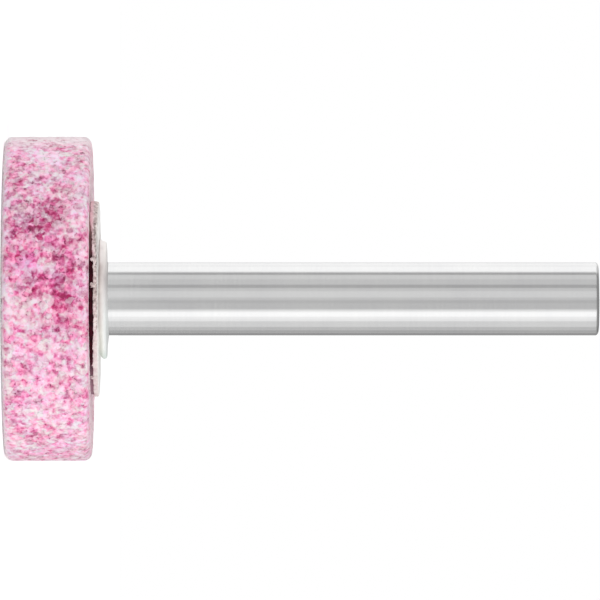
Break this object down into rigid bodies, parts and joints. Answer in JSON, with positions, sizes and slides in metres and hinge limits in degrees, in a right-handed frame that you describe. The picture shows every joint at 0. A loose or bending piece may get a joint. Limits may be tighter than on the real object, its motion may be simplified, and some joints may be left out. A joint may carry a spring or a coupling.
{
  "type": "cylindrical mounted point",
  "caption": "Cylindrical grinding point: a flat pink vitrified abrasive wheel bonded to a round steel shank with a backing washer and a resin bead.",
  "frame": {"origin": "centre of the wheel's flat front face, on which the point stands", "axes": "+Z along the shank's axis, away from the wheel"},
  "size_m": [0.0266, 0.0266, 0.0487],
  "materials": {
    "abrasive": "matte",
    "steel": "satin",
    "washer_fibre": "matte",
    "resin": "gloss"
  },
  "bodies": {
    "root": {"grinding_wheel": "abrasive", "shank": "steel", "backing_washer": "washer_fibre", "resin_bond": "resin"}
  },
  "joints": []
}
